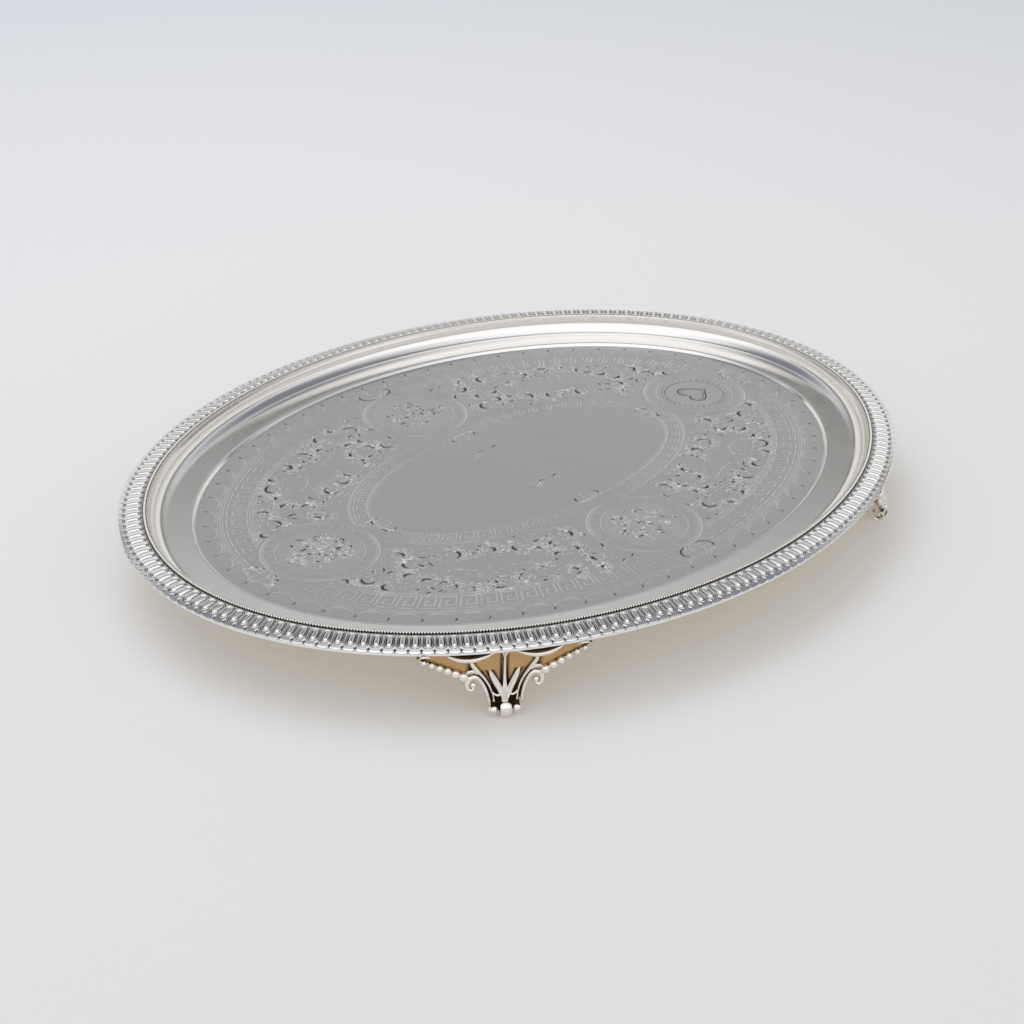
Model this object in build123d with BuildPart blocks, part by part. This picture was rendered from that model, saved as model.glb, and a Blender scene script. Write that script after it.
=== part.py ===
from build123d import *
import math
import os

# Oval footed salver: a raised sheet-silver tray, a moulded lip strip and a beaded wire inside an
# applied border, and four cast feet, all soldered together. Nothing on it moves.
# Millimetres. +X runs along the long axis, +Z is up, and the origin is on the table under the middle.

# Outline, over the outer edge of the border
LENGTH = 355.6
WIDTH = 279.4
HALF_LENGTH = LENGTH / 2
HALF_WIDTH = WIDTH / 2

# Tray sheet. Every inset is measured inwards from the outline, and every height from the table.
SHEET = 1.2
FIELD_TOP = 22.0
FIELD_INSET = 29.7
STEP_WIDTH = 1.1
STEP_RISE = 1.2
HOLLOW_INSET = 18.6
LIP_INSET = 12.4
LIP_TOP = FIELD_TOP + 8.1
LIP_WALL_FOOT = FIELD_TOP + 7.0
FLANGE_EDGE_INSET = 1.0
FLANGE_DROP = 1.6
FLANGE_THICKNESS = 1.1
HOLLOW_MIDDLE = (14.2, FIELD_TOP + 2.9)
HOLLOW_UNDER_MIDDLE = (13.3, FIELD_TOP + 2.0)
FIELD_DISC_INSET = 33.0
DISC_LAP = 1.0

# Moulded lip strip, which also carries the beaded wire
STRIP_OUTER_INSET = 9.8
STRIP_SHELF = FIELD_TOP + 8.6
STRIP_LIP_HEIGHT = FIELD_TOP + 9.1
STRIP_LIP_WIDTH = 1.0

# Beaded wire, filed flat underneath where it is soldered to the shelf
BEAD_RADIUS = 0.6
BEAD_INSET = 10.6
BEAD_CENTRE = FIELD_TOP + 9.0

# Applied border, soldered on in four lengths
BORDER_INNER_TOP = FIELD_TOP + 8.9
BORDER_CROWN = FIELD_TOP + 8.7
BORDER_SHOULDER_INSET = 0.6
BORDER_SHOULDER = FIELD_TOP + 7.6
BORDER_EDGE_TOP = FIELD_TOP + 7.2

# Feet: each stands under the outline where the ellipse's own angle is FOOT_ANGLE
FOOT_ANGLE = 51.0
FOOT_BOW_RADIUS = 30.0
FOOT_BOW_INSET = 5.6
FOOT_BOW_HEIGHT = 17.5
FOOT_THICKNESS = 2.0
FOOT_REACH = 34.0
FOOT_TOP = 29.5
NECK_TOP = 7.3
NECK_HALF = 3.4
NECK_OUTER = 5.9
SHOULDER = (10.9, 20.3)
SHOULDER_BEND = (6.0, 13.4)
FAN_CORNER = (13.0, FOOT_TOP)
STRAP_END = (13.3, 16.2)
VOLUTE_CENTRE = (11.3, 12.8)
VOLUTE_RADIUS = 2.4
STRAP_HEEL = (9.2, 12.4)
STRAP_BEND = (7.4, 10.2)
WING_TIP = (29.8, 25.4)
WING_MIDDLE = (21.4, 20.6)
WING_BACK = 1.0
PEARL_COUNT = 6
PEARL_LARGE = 1.55
PEARL_SMALL = 0.85
PEARL_FIRST = 0.08
PEARL_LAST = 0.93

# Scroll toe, rolled outwards under the foot
TOE_INSET = 2.9
TOE_RADIUS = 3.6
TOE_HEIGHT = 3.5
TOE_HALF_WIDTH = 2.1
CURL_INSET = 3.6
CURL_RADIUS = 2.9
CURL_HEIGHT = 3.2
CURL_FROM = 2.8
CURL_WIDTH = 2.6
CORE_RADIUS = 1.8

# The foot's flat blanks run from behind its bowed plate to in front of it, before they are cut to it
BLANK_BEHIND = 12.0
BLANK_DEPTH = 14.0
# The tool that trims the feet reaches past the outline and above their tops
TRIM_MARGIN = 2.0
TRIM_ABOVE = 5.0

FIELD_UNDER = FIELD_TOP - SHEET
RING_TOP = FIELD_TOP + STEP_RISE
RING_UNDER = RING_TOP - SHEET
WALL_INSET = LIP_INSET - SHEET
FLANGE_SLOPE = FLANGE_DROP / (LIP_INSET - FLANGE_EDGE_INSET)

# The rim's sections are drawn on this plane at the +X end: x is the inset and y is the height.
rim_plane = Plane(origin=(HALF_LENGTH, 0, 0), x_dir=(-1, 0, 0), z_dir=(0, 1, 0))

with BuildSketch() as outline_sketch:
    Ellipse(HALF_LENGTH, HALF_WIDTH)
outline = Wire([outline_sketch.sketch.edges()[0]])

finished = []


def finish(part, name):
    """Label one finished piece and keep it for export."""
    part.label = name
    finished.append(part)


def flange_top(inset):
    return LIP_TOP - FLANGE_SLOPE * (LIP_INSET - inset)


def flange_under(inset):
    return flange_top(inset) - FLANGE_THICKNESS


# Tray: one sheet with a flat field, a small step, a level ring, a hollow wall and an outer flange
with BuildPart() as tray:
    with BuildSketch(rim_plane):
        with BuildLine():
            Polyline(
                (FIELD_DISC_INSET + DISC_LAP, FIELD_TOP),
                (FIELD_INSET, FIELD_TOP),
                (FIELD_INSET - STEP_WIDTH, RING_TOP),
                (HOLLOW_INSET, RING_TOP),
            )
            ThreePointArc((HOLLOW_INSET, RING_TOP), HOLLOW_MIDDLE, (LIP_INSET, LIP_WALL_FOOT))
            Polyline(
                (LIP_INSET, LIP_WALL_FOOT),
                (LIP_INSET, LIP_TOP),
                (FLANGE_EDGE_INSET, flange_top(FLANGE_EDGE_INSET)),
                (FLANGE_EDGE_INSET, flange_under(FLANGE_EDGE_INSET)),
                (WALL_INSET, flange_under(WALL_INSET)),
            )
            ThreePointArc(
                (WALL_INSET, flange_under(WALL_INSET)),
                HOLLOW_UNDER_MIDDLE,
                (HOLLOW_INSET, RING_UNDER),
            )
            Polyline(
                (HOLLOW_INSET, RING_UNDER),
                (FIELD_INSET - STEP_WIDTH + SHEET / 4, RING_UNDER),
                (FIELD_INSET + SHEET / 4, FIELD_UNDER),
                (FIELD_DISC_INSET + DISC_LAP, FIELD_UNDER),
                (FIELD_DISC_INSET + DISC_LAP, FIELD_TOP),
            )
        make_face()
    sweep(path=outline)
    with BuildSketch(Plane.XY.offset(FIELD_UNDER)):
        Ellipse(HALF_LENGTH - FIELD_DISC_INSET, HALF_WIDTH - FIELD_DISC_INSET)
    extrude(amount=SHEET)
finish(tray.part, "tray_sheet")

# Lip strip: two fine fillets inside, and a level shelf for the beaded wire
with BuildPart() as lip_strip:
    with BuildSketch(rim_plane):
        with BuildLine():
            Polyline(
                (LIP_INSET, LIP_TOP),
                (LIP_INSET, STRIP_SHELF),
                (LIP_INSET - STRIP_LIP_WIDTH / 2, STRIP_LIP_HEIGHT),
                (LIP_INSET - STRIP_LIP_WIDTH, STRIP_LIP_HEIGHT),
                (LIP_INSET - STRIP_LIP_WIDTH, STRIP_SHELF),
                (STRIP_OUTER_INSET, STRIP_SHELF),
                (STRIP_OUTER_INSET, flange_top(STRIP_OUTER_INSET)),
                close=True,
            )
        make_face()
    sweep(path=outline)
finish(lip_strip.part, "moulded_lip_strip")

# Beaded wire: a round wire with a filed flat
with BuildPart() as bead_wire:
    with BuildSketch(rim_plane):
        with Locations((BEAD_INSET, BEAD_CENTRE)):
            Circle(BEAD_RADIUS)
        with Locations((BEAD_INSET, STRIP_SHELF)):
            Rectangle(
                4 * BEAD_RADIUS, 2 * BEAD_RADIUS, align=(Align.CENTER, Align.MAX), mode=Mode.SUBTRACT
            )
    sweep(path=outline)
finish(bead_wire.part, "beaded_wire")

# Border: a crowned strip that covers the flange and turns down over its edge
with BuildPart() as border_ring:
    with BuildSketch(rim_plane):
        with BuildLine():
            Line((STRIP_OUTER_INSET, flange_top(STRIP_OUTER_INSET)), (STRIP_OUTER_INSET, BORDER_INNER_TOP))
            ThreePointArc(
                (STRIP_OUTER_INSET, BORDER_INNER_TOP),
                (STRIP_OUTER_INSET / 2, BORDER_CROWN),
                (BORDER_SHOULDER_INSET, BORDER_SHOULDER),
            )
            Polyline(
                (BORDER_SHOULDER_INSET, BORDER_SHOULDER),
                (0, BORDER_EDGE_TOP),
                (0, flange_top(FLANGE_EDGE_INSET)),
                (FLANGE_EDGE_INSET, flange_top(FLANGE_EDGE_INSET)),
                (STRIP_OUTER_INSET, flange_top(STRIP_OUTER_INSET)),
            )
        make_face()
    sweep(path=outline)

CORNERS = {
    "front_left": (-1, -1),
    "front_right": (1, -1),
    "back_left": (-1, 1),
    "back_right": (1, 1),
}

for corner, (side_x, side_y) in CORNERS.items():
    with BuildPart() as border_length:
        add(border_ring.part)
        split(bisect_by=Plane.YZ, keep=Keep.TOP if side_x > 0 else Keep.BOTTOM)
        split(bisect_by=Plane.XZ, keep=Keep.BOTTOM if side_y > 0 else Keep.TOP)
    finish(border_length.part, f"{corner}_border_length")

# Everything above the flange's underside, which trims the tops of the feet to fit it
with BuildPart() as above_flange:
    with BuildSketch(rim_plane):
        with BuildLine():
            Polyline(
                (-TRIM_MARGIN, flange_under(-TRIM_MARGIN)),
                (WALL_INSET, flange_under(WALL_INSET)),
                (WALL_INSET, FOOT_TOP + TRIM_ABOVE),
                (-TRIM_MARGIN, FOOT_TOP + TRIM_ABOVE),
                close=True,
            )
        make_face()
    sweep(path=outline)


def foot_planes(side_x, side_y):
    """The foot's face plane (x along the rim, y up) and side plane (x outwards, y up)."""
    angle = math.radians(FOOT_ANGLE)
    x = side_x * HALF_LENGTH * math.cos(angle)
    y = side_y * HALF_WIDTH * math.sin(angle)
    outward = Vector(x / HALF_LENGTH**2, y / HALF_WIDTH**2, 0).normalized()
    along = Vector(0, 0, 1).cross(outward)
    face = Plane(origin=(x, y, 0), x_dir=along, z_dir=outward)
    side = Plane(origin=(x, y, 0), x_dir=outward, z_dir=-along)
    return face, side


def bow_inset(height):
    """How far inside the outline the middle of the foot's bowed plate is, at a height."""
    rise = height - FOOT_BOW_HEIGHT
    return FOOT_BOW_INSET - FOOT_BOW_RADIUS + math.sqrt(FOOT_BOW_RADIUS**2 - rise**2)


def keep_bowed_plate(side):
    """Cut the piece being built down to the foot's bowed plate, under the flange."""
    with BuildSketch(side) as bow:
        with Locations((FOOT_BOW_RADIUS - FOOT_BOW_INSET, FOOT_BOW_HEIGHT)):
            Circle(FOOT_BOW_RADIUS + FOOT_THICKNESS / 2)
            Circle(FOOT_BOW_RADIUS - FOOT_THICKNESS / 2, mode=Mode.SUBTRACT)
    extrude(bow.sketch, amount=FOOT_REACH, both=True, mode=Mode.INTERSECT)
    add(above_flange.part, mode=Mode.SUBTRACT)


def shoulder_arc(hand):
    """The curved seam between the bracket and a strap."""
    ThreePointArc(
        (hand * NECK_HALF, NECK_TOP),
        (hand * SHOULDER_BEND[0], SHOULDER_BEND[1]),
        (hand * SHOULDER[0], SHOULDER[1]),
    )


def bracket(face, side):
    """Palmette bracket: the fan that carries the tray's weight down to the neck."""
    with BuildPart() as piece:
        with BuildSketch(face.offset(-BLANK_BEHIND)):
            with BuildLine():
                Line((-NECK_HALF, NECK_TOP), (NECK_HALF, NECK_TOP))
                shoulder_arc(1)
                Polyline(SHOULDER, FAN_CORNER, (-FAN_CORNER[0], FAN_CORNER[1]), (-SHOULDER[0], SHOULDER[1]))
                shoulder_arc(-1)
            make_face()
        extrude(amount=BLANK_DEPTH)
        keep_bowed_plate(side)
    return piece.part


def strap(face, side, hand):
    """Scroll strap: follows the bracket's edge and ends in a volute; hand is -1 left, 1 right."""
    with BuildPart() as piece:
        with BuildSketch(face.offset(-BLANK_BEHIND)):
            with BuildLine():
                shoulder_arc(hand)
                Polyline(
                    (hand * SHOULDER[0], SHOULDER[1]),
                    (hand * STRAP_END[0], STRAP_END[1]),
                    (hand * VOLUTE_CENTRE[0], VOLUTE_CENTRE[1]),
                    (hand * STRAP_HEEL[0], STRAP_HEEL[1]),
                )
                ThreePointArc(
                    (hand * STRAP_HEEL[0], STRAP_HEEL[1]),
                    (hand * STRAP_BEND[0], STRAP_BEND[1]),
                    (hand * NECK_OUTER, NECK_TOP),
                )
                Line((hand * NECK_OUTER, NECK_TOP), (hand * NECK_HALF, NECK_TOP))
            make_face()
            with Locations((hand * VOLUTE_CENTRE[0], VOLUTE_CENTRE[1])):
                Circle(VOLUTE_RADIUS)
        extrude(amount=BLANK_DEPTH)
        keep_bowed_plate(side)
    return piece.part


def wing(face, side, hand):
    """Pearled wing: fills the angle under the rim, with pearls that shrink towards the tip."""
    with BuildPart() as piece:
        with BuildSketch(face.offset(-BLANK_BEHIND)):
            with BuildLine():
                Polyline(
                    (hand * STRAP_END[0], STRAP_END[1]),
                    (hand * SHOULDER[0], SHOULDER[1]),
                    (hand * FAN_CORNER[0], FAN_CORNER[1]),
                    (hand * (WING_TIP[0] + WING_BACK), FAN_CORNER[1]),
                    (hand * WING_TIP[0], WING_TIP[1]),
                )
                ThreePointArc(
                    (hand * WING_TIP[0], WING_TIP[1]),
                    (hand * WING_MIDDLE[0], WING_MIDDLE[1]),
                    (hand * STRAP_END[0], STRAP_END[1]),
                )
            make_face()
        extrude(amount=BLANK_DEPTH)
        keep_bowed_plate(side)
        for index in range(PEARL_COUNT):
            along = index / (PEARL_COUNT - 1)
            place = PEARL_FIRST + (PEARL_LAST - PEARL_FIRST) * along
            radius = PEARL_LARGE + (PEARL_SMALL - PEARL_LARGE) * along
            u = STRAP_END[0] + (WING_TIP[0] - STRAP_END[0]) * place
            height = STRAP_END[1] + (WING_TIP[1] - STRAP_END[1]) * place
            centre = face.from_local_coords((hand * u, height, -bow_inset(height)))
            with Locations(centre):
                Sphere(radius)
        add(above_flange.part, mode=Mode.SUBTRACT)
    return piece.part


def toe_scroll(side):
    """Scroll toe: a middle knuckle, two side curls and the neck that the bracket stands on."""
    with BuildPart() as piece:
        with BuildSketch(side):
            with Locations((-TOE_INSET, TOE_HEIGHT)):
                Circle(TOE_RADIUS)
        extrude(amount=TOE_HALF_WIDTH, both=True)
        with BuildSketch(side):
            with Locations((-CURL_INSET, CURL_HEIGHT)):
                Circle(CORE_RADIUS)
        extrude(amount=CURL_FROM + CURL_WIDTH, both=True)
        for way in (-1, 1):
            with BuildSketch(side.offset(way * CURL_FROM)):
                with Locations((-CURL_INSET, CURL_HEIGHT)):
                    Circle(CURL_RADIUS)
            extrude(amount=way * CURL_WIDTH)
        with BuildSketch(side):
            inner = -bow_inset(NECK_TOP) - FOOT_THICKNESS / 2
            with Locations((inner, NECK_TOP)):
                Rectangle(FOOT_THICKNESS, NECK_TOP - CURL_HEIGHT, align=(Align.MIN, Align.MAX))
        extrude(amount=NECK_OUTER, both=True)
        with BuildSketch(side):
            with Locations((-TOE_INSET, 0)):
                Rectangle(4 * TOE_RADIUS, NECK_TOP, align=(Align.CENTER, Align.MIN))
        extrude(amount=2 * NECK_OUTER, both=True, mode=Mode.INTERSECT)
    return piece.part


for corner, (side_x, side_y) in CORNERS.items():
    face, side = foot_planes(side_x, side_y)
    finish(bracket(face, side), f"{corner}_foot_bracket")
    for hand_name, hand in (("left", -1), ("right", 1)):
        finish(strap(face, side, hand), f"{corner}_foot_{hand_name}_strap")
        finish(wing(face, side, hand), f"{corner}_foot_{hand_name}_wing")
    finish(toe_scroll(side), f"{corner}_foot_toe")

os.makedirs("parts", exist_ok=True)
for part in finished:
    export_step(part, f"parts/{part.label}.step")
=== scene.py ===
import random
from math import atan2, cos, degrees, hypot, pi, radians, sin, sqrt

import bpy
import numpy as np
from mathutils import Matrix, Vector
from mathutils.geometry import delaunay_2d_cdt


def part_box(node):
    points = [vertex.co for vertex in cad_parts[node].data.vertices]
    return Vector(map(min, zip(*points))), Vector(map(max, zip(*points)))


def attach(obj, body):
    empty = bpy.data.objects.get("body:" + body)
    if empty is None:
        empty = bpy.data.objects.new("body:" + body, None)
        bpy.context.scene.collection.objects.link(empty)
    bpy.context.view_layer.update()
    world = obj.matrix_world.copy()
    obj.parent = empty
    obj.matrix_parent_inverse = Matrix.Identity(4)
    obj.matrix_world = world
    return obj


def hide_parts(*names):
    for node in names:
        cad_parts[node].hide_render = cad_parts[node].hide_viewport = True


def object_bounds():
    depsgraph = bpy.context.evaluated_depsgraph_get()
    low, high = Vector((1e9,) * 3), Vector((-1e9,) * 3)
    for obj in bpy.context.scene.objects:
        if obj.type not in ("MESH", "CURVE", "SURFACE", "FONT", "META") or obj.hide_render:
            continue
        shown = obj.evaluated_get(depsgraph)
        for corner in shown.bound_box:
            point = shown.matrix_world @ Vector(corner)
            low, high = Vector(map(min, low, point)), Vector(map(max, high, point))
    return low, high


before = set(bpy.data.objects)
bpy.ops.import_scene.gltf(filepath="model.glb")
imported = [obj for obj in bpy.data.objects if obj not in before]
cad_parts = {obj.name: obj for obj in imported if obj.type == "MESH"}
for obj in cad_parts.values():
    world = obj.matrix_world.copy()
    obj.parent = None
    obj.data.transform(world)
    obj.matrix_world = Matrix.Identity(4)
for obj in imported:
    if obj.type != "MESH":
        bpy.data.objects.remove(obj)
cad_low, cad_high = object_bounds()

# ---------------------------------------------------------------- sizes, in millimetres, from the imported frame
MM = 0.001
A = cad_high[0] / MM
B = cad_high[1] / MM
SHEET = 1.2
FIELD_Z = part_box("tray_sheet")[0].z / MM + SHEET
BEAD_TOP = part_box("beaded_wire")[1].z / MM
STRIP_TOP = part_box("moulded_lip_strip")[1].z / MM

# the tray's section, as insets from the outline and heights
FIELD_INSET = 29.7
STEP_WIDTH = 1.1
RING_Z = FIELD_Z + 1.2
HOLLOW_INSET = 18.6
LIP_INSET = 12.4
LIP_Z = 30.1
BORDER_INSET = 9.8
FLANGE_EDGE = 1.0
FLANGE_THICKNESS = 1.1
FLANGE_SLOPE = 1.6 / 11.4

EGGS = 216
EGG_COLUMNS = 32
BEADS_PER_EGG = 4
RING_COLUMNS = 864
QUARTERS = {"back_right": (1, 1), "back_left": (-1, 1), "front_left": (-1, -1), "front_right": (1, -1)}


def flange_top(inset):
    """Height of the flange's upper face."""
    return LIP_Z - FLANGE_SLOPE * (LIP_INSET - inset)


# ---------------------------------------------------------------- curves around the oval
def outline(t, inset):
    """Points at ellipse parameter t, moved in from the outline along its normal."""
    c, s = np.cos(t), np.sin(t)
    nx, ny = c / A, s / B
    size = np.hypot(nx, ny)
    return A * c - inset * nx / size, B * s - inset * ny / size


def even_parameters(count, inset):
    """Ellipse parameters evenly spaced by length around the outline, starting on +X."""
    t = np.linspace(0, 2 * pi, 7201)
    x, y = outline(t, inset)
    length = np.concatenate([[0], np.cumsum(np.hypot(np.diff(x), np.diff(y)))])
    return np.interp(np.arange(count) / count * length[-1], length, t)


def oval(t, inset):
    """The engraver's family of ovals, whose half axes are both shorter by inset."""
    return (A - inset) * np.cos(t), (B - inset) * np.sin(t)


# ---------------------------------------------------------------- mesh helpers
def new_piece(name, verts, faces, materials, replaced, sharp=35, face_material=None, relief=None):
    """One visible piece of the salver, in metres, riding on the root body."""
    mesh = bpy.data.meshes.new(name)
    mesh.from_pydata((np.asarray(verts, float) * MM).tolist(), [], faces)
    mesh.update()
    obj = bpy.data.objects.new(name, mesh)
    bpy.context.scene.collection.objects.link(obj)
    for material in materials:
        mesh.materials.append(material)
    if face_material is not None:
        mesh.polygons.foreach_set("material_index", face_material)
    if sharp > 0:
        mesh.shade_smooth()
        mesh.set_sharp_from_angle(angle=radians(sharp))
    attribute = mesh.attributes.new("relief", "FLOAT", "POINT")
    values = np.ones(len(mesh.vertices)) if relief is None else np.asarray(relief, float)
    attribute.data.foreach_set("value", values.astype(np.float32))
    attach(obj, "root")
    if replaced:
        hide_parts(*replaced)
    return obj


def grid_faces(columns, rows, closed_columns, closed_rows, start=0):
    """Quads of a grid of points stored column by column."""
    faces = []
    for i in range(columns if closed_columns else columns - 1):
        a = i * rows
        b = (i + 1) % columns * rows
        for j in range(rows if closed_rows else rows - 1):
            k = (j + 1) % rows
            faces.append((start + a + j, start + b + j, start + b + k, start + a + k))
    return faces


def swept_ring(profile, t):
    """Points of a profile of (inset, height) swept around the outline."""
    profile = np.asarray(profile, float)
    x, y = outline(t[:, None], profile[None, :, 0])
    z = np.broadcast_to(profile[None, :, 1], x.shape)
    return np.stack([x, y, z], axis=2).reshape(-1, 3)


def polar(centre, radius, angle):
    return centre[0] + radius * cos(angle), centre[1] + radius * sin(angle)


def arc_through(start, middle, end, steps):
    """Points on the circle through three points, from start to end."""
    (x1, y1), (x2, y2), (x3, y3) = start, middle, end
    d = 2 * (x1 * (y2 - y3) + x2 * (y3 - y1) + x3 * (y1 - y2))
    s1, s2, s3 = x1 * x1 + y1 * y1, x2 * x2 + y2 * y2, x3 * x3 + y3 * y3
    cx = (s1 * (y2 - y3) + s2 * (y3 - y1) + s3 * (y1 - y2)) / d
    cy = (s1 * (x3 - x2) + s2 * (x1 - x3) + s3 * (x2 - x1)) / d
    a1, a2, a3 = (atan2(y - cy, x - cx) for x, y in (start, middle, end))
    turn = (a3 - a1) % (2 * pi)
    if (a2 - a1) % (2 * pi) > turn:
        turn -= 2 * pi
    r = hypot(x1 - cx, y1 - cy)
    return [polar((cx, cy), r, a1 + turn * k / steps) for k in range(steps + 1)]


def rounded(points, radius, steps=3):
    """An open line of (inset, height) with its corners rounded off."""
    result = [points[0]]
    for before, corner, after in zip(points, points[1:], points[2:]):
        p, q, r = Vector(before), Vector(corner), Vector(after)
        reach = min(radius, (q - p).length / 2.2, (r - q).length / 2.2)
        a = q + (p - q).normalized() * reach
        b = q + (r - q).normalized() * reach
        for k in range(steps + 1):
            w = k / steps
            m = a.lerp(q, w).lerp(q.lerp(b, w), w)
            result.append((m.x, m.y))
    result.append(points[-1])
    return result


def smooth_line(points, per_span=6):
    """A Catmull-Rom curve through points of any dimension."""
    pts = [np.asarray(p, float) for p in points]
    pts = [2 * pts[0] - pts[1]] + pts + [2 * pts[-1] - pts[-2]]
    out = []
    for p0, p1, p2, p3 in zip(pts, pts[1:], pts[2:], pts[3:]):
        bend, twist = 2 * p0 - 5 * p1 + 4 * p2 - p3, 3 * p1 - p0 - 3 * p2 + p3
        for k in range(per_span):
            s = k / per_span
            out.append(0.5 * (2 * p1 + (p2 - p0) * s + bend * s * s + twist * s**3))
    out.append(pts[-2])
    return np.array(out)


# ---------------------------------------------------------------- materials
CLOUD_SCALE = 39.6
GRAIN_SCALE = 3080.0
GRAIN_DEPTH = 0.00002
SCRATCH_DEPTH = 0.00003
SCRATCH_ANGLES = (0.5, 1.9)
SCRATCH_STRETCH = (30, 900, 30)


def feed(tree, node, inputs):
    """Links each input that is given another node's output, and sets any other on its socket."""
    for name, value in inputs.items():
        if isinstance(value, bpy.types.NodeSocket):
            tree.links.new(value, node.inputs[name])
        else:
            node.inputs[name].default_value = value
    return node


def add_node(tree, kind, inputs=None, **settings):
    node = tree.nodes.new("ShaderNode" + kind)
    for name, value in settings.items():
        setattr(node, name, value)
    return feed(tree, node, inputs or {})


def add_ramp(tree, factor, stops):
    """Colours by a factor, from (place, colour) stops."""
    ramp = add_node(tree, "ValToRGB", {"Fac": factor})
    elements = ramp.color_ramp.elements
    for place, _ in stops[1:-1]:
        elements.new(place)
    for element, (place, colour) in zip(elements, stops):
        element.position = place
        element.color = (*colour, 1)
    return ramp.outputs["Color"]


def new_material(name):
    material = bpy.data.materials.new(name)
    material.use_nodes = True
    return material, material.node_tree, material.node_tree.nodes["Principled BSDF"]


def silver(name, bright, dark, rough_low, rough_high, wipe=0.0, tarnish=0.12, warm=None, oxide_matt=0.62):
    """Polished silver: where the relief attribute is low, dark oxide and painted shade in recesses and on shaded
    sides, hazy wear, a little tarnish and fine polishing scratches.
    """
    material, tree, shader = new_material(name)
    place = add_node(tree, "TexCoord").outputs["Object"]
    relief = add_node(tree, "Attribute", attribute_name="relief").outputs["Fac"]
    cloud = add_node(tree, "TexNoise", {"Vector": place, "Scale": CLOUD_SCALE, "Detail": 5.0}).outputs["Fac"]
    grain = add_node(tree, "TexNoise", {"Vector": place, "Scale": GRAIN_SCALE, "Detail": 4.0}).outputs["Fac"]

    # painted shade: the relief attribute mixes in the dark colour, for oxide and for shade in recesses,
    # undersides and backs
    oxide_and_shade = add_node(tree, "Mix", {"Factor": relief, "A": (*dark, 1), "B": (*bright, 1)}, data_type="RGBA")
    stain = add_node(tree, "MapRange", {"Value": cloud, "From Min": 0.45, "From Max": 0.75,
                                        "To Max": tarnish})
    tint = (*(warm or (bright[0] * 0.8, bright[1] * 0.74, bright[2] * 0.64)), 1)
    worn = {"Factor": stain.outputs["Result"], "A": oxide_and_shade.outputs["Result"], "B": tint}
    colour = add_node(tree, "Mix", worn, data_type="RGBA").outputs["Result"]
    haze = {"Value": cloud, "From Min": 0.3, "From Max": 0.7, "To Min": rough_low, "To Max": rough_high}
    hazy = add_node(tree, "MapRange", haze).outputs["Result"]
    rough = add_node(tree, "Mix", {"Factor": relief, "A": oxide_matt, "B": hazy}).outputs["Result"]

    normal = add_node(tree, "Bump", {"Height": grain, "Strength": 0.12,
                                     "Distance": GRAIN_DEPTH}).outputs["Normal"]
    for angle in SCRATCH_ANGLES if wipe else ():
        turned = add_node(tree, "Mapping",
                          {"Vector": place, "Rotation": (0, 0, angle), "Scale": SCRATCH_STRETCH})
        scratch = add_node(tree, "TexNoise",
                           {"Vector": turned.outputs["Vector"], "Scale": 1.0, "Detail": 3.0})
        line = {"Height": scratch.outputs["Fac"], "Normal": normal, "Strength": wipe,
                "Distance": SCRATCH_DEPTH}
        normal = add_node(tree, "Bump", line).outputs["Normal"]
    feed(tree, shader, {"Metallic": 1.0, "Base Color": colour, "Roughness": rough, "Normal": normal})
    return material


# name, clean silver, silver in the recesses (dark for oxide and painted shade), least and most roughness
FIELD_TONE = (0.66, 0.655, 0.65)
FROST_TONE = (0.70, 0.68, 0.665)
tray_silver = silver("tray_silver_polished", (0.90, 0.885, 0.87), (0.25, 0.23, 0.21), 0.10, 0.15, wipe=0.10,
                     tarnish=0.05)
field_silver = silver("field_silver_satin", FIELD_TONE, FIELD_TONE, 0.26, 0.34, wipe=0.9, tarnish=0.06,
                      oxide_matt=0.34)
cut_silver = silver("bright_cut_silver", (0.93, 0.92, 0.90), (0.03, 0.027, 0.024), 0.24, 0.32, tarnish=0.0,
                    oxide_matt=0.45)
frosted_silver = silver("frosted_silver", FROST_TONE, FROST_TONE, 0.40, 0.48, tarnish=0.1, oxide_matt=0.44)
border_silver = silver("border_silver_oxidised_and_shaded", (0.93, 0.92, 0.91), (0.045, 0.042, 0.045), 0.13, 0.20,
                       tarnish=0.10)
bead_silver = silver("bead_silver_oxidised_and_shaded", (0.93, 0.91, 0.87), (0.06, 0.05, 0.04), 0.14, 0.2, tarnish=0.15)
foot_recess = silver("foot_recess_warm", (0.58, 0.37, 0.18), (0.025, 0.013, 0.006), 0.22, 0.32, tarnish=0.35,
                     warm=(0.60, 0.38, 0.17))
foot_silver = silver("foot_silver_oxidised_and_shaded", (0.92, 0.89, 0.84), (0.10, 0.055, 0.025), 0.15, 0.24,
                     tarnish=0.25,
                     warm=(0.72, 0.56, 0.38))


# ---------------------------------------------------------------- tray: rim, wall, flange and underside
RING_UNDER = RING_Z - SHEET
FIELD_UNDER = FIELD_Z - SHEET
UNDERSIDE_INSET = 45
ring_t = even_parameters(RING_COLUMNS, 0)
hollow = arc_through((HOLLOW_INSET, RING_Z), (14.2, RING_Z + 1.7), (LIP_INSET, 29.0), 14)
hollow_under = arc_through((11.2, flange_top(11.2) - FLANGE_THICKNESS), (13.3, RING_Z + 0.8),
                           (HOLLOW_INSET, RING_UNDER), 12)
step = [(FIELD_INSET, FIELD_Z), (FIELD_INSET - 0.1, FIELD_Z), (FIELD_INSET - STEP_WIDTH, RING_Z),
        (27.5, RING_Z)]
top_profile = rounded(step, 0.35)
top_profile += [(inset, RING_Z) for inset in (27.0, 25.0, 23.0, 21.0, 19.6, 19.1, HOLLOW_INSET)] + hollow[1:]
top_profile += [(LIP_INSET, LIP_Z), (FLANGE_EDGE, flange_top(FLANGE_EDGE))]
top_profile += [(FLANGE_EDGE, flange_top(FLANGE_EDGE) - FLANGE_THICKNESS)] + hollow_under
top_profile += [(24, RING_UNDER), (28.9, RING_UNDER), (30.0, FIELD_UNDER), (UNDERSIDE_INSET, FIELD_UNDER)]


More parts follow.
